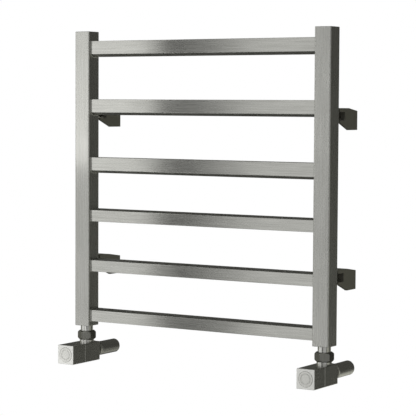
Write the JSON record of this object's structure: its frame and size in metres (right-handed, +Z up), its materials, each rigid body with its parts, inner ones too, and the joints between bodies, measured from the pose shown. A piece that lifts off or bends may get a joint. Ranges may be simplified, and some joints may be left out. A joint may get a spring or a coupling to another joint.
{
  "type": "towel warmer rack",
  "caption": "Wall-hung water-heated towel rail with square steel uprights, flat cross bars, wall brackets and square corner valves under the uprights.",
  "frame": {"origin": "on the wall plane, midway between the axes of the four bracket pins", "axes": "+X to the right as seen from the room, +Y into the wall, +Z up"},
  "size_m": [0.5024, 0.145, 0.5718],
  "materials": {
    "tube_steel": "stainless steel tube, brushed along its length",
    "welded_steel": "turned steel, as welded inside the tube",
    "bracket_steel": "satin steel",
    "fastener_steel": "plain machined steel",
    "valve_nickel": "brushed nickel plate on brass",
    "spun_nickel": "nickel plate, face turned in fine rings",
    "brass": "plain turned brass",
    "copper_pipe": "drawn copper",
    "seal_rubber": "matt black rubber"
  },
  "bodies": {
    "rack": {"air_vent_body": "valve_nickel", "bar_1": "tube_steel", "bar_2": "tube_steel", "bar_3": "tube_steel", "bar_4": "tube_steel", "bar_5": "tube_steel", "bar_6": "tube_steel", "bottom_bush_left": "welded_steel", "bottom_bush_right": "welded_steel", "bracket_lower_left_block": "bracket_steel", "bracket_lower_left_boss": "welded_steel", "bracket_lower_left_grub_screw": "fastener_steel", "bracket_lower_left_pin": "fastener_steel", "bracket_lower_right_block": "bracket_steel", "bracket_lower_right_boss": "welded_steel", "bracket_lower_right_grub_screw": "fastener_steel", "bracket_lower_right_pin": "fastener_steel", "bracket_upper_left_block": "bracket_steel", "bracket_upper_left_boss": "welded_steel", "bracket_upper_left_grub_screw": "fastener_steel", "bracket_upper_left_pin": "fastener_steel", "bracket_upper_right_block": "bracket_steel", "bracket_upper_right_boss": "welded_steel", "bracket_upper_right_grub_screw": "fastener_steel", "bracket_upper_right_pin": "fastener_steel", "left_pipe_sleeve": "valve_nickel", "left_supply_pipe": "copper_pipe", "left_valve_body": "valve_nickel", "left_valve_bonnet": "brass", "left_valve_compression_nut": "valve_nickel", "left_valve_gland_ring": "seal_rubber", "left_valve_olive": "brass", "left_valve_tailpiece": "valve_nickel", "left_valve_union_nut": "valve_nickel", "left_valve_union_washer": "seal_rubber", "right_pipe_sleeve": "valve_nickel", "right_supply_pipe": "copper_pipe", "right_valve_body": "valve_nickel", "right_valve_bonnet": "brass", "right_valve_compression_nut": "valve_nickel", "right_valve_gland_ring": "seal_rubber", "right_valve_olive": "brass", "right_valve_tailpiece": "valve_nickel", "right_valve_union_nut": "valve_nickel", "right_valve_union_washer": "seal_rubber", "top_cap_left": "tube_steel", "top_cap_right": "tube_steel", "upright_left": "tube_steel", "upright_right": "tube_steel"},
    "left_head": {"left_valve_head": "valve_nickel", "left_valve_head_disc": "spun_nickel", "left_valve_head_screw": "fastener_steel", "left_valve_spindle": "brass"},
    "left_plug": {"left_valve_plug": "brass"},
    "right_spindle": {"right_valve_spindle": "brass"},
    "right_plug": {"right_valve_plug": "brass"},
    "right_cap": {"right_valve_cap": "valve_nickel", "right_valve_cap_disc": "spun_nickel"},
    "vent_screw": {"air_vent_screw": "brass"}
  },
  "joints": [
    {"name": "left_head_turn", "type": "hinge", "parent": "rack", "child": "left_head", "pos_m": [-0.235, -0.083, -0.2835], "axis": [0, 1, 0], "range_deg": [0, 900]},
    {"name": "left_plug_travel", "type": "slide", "parent": "rack", "child": "left_plug", "axis": [0, 1, 0], "range_m": [0, 0.0038]},
    {"name": "right_cap_pull", "type": "slide", "parent": "rack", "child": "right_cap", "axis": [0, -1, 0], "range_m": [0, 0.06]},
    {"name": "right_spindle_turn", "type": "hinge", "parent": "rack", "child": "right_spindle", "pos_m": [0.235, -0.083, -0.2835], "axis": [0, 1, 0], "range_deg": [0, 900]},
    {"name": "right_plug_travel", "type": "slide", "parent": "rack", "child": "right_plug", "axis": [0, 1, 0], "range_m": [0, 0.0038]},
    {"name": "air_vent_turn", "type": "hinge", "parent": "rack", "child": "vent_screw", "pos_m": [0.235, -0.068, 0.212], "axis": [0, 1, 0], "range_deg": [0, 360]}
  ],
  "couplings": [
    {"joint": "left_plug_travel", "follows": "left_head_turn", "m_per_rad": 0.00023873},
    {"joint": "right_plug_travel", "follows": "right_spindle_turn", "m_per_rad": 0.00023873}
  ]
}
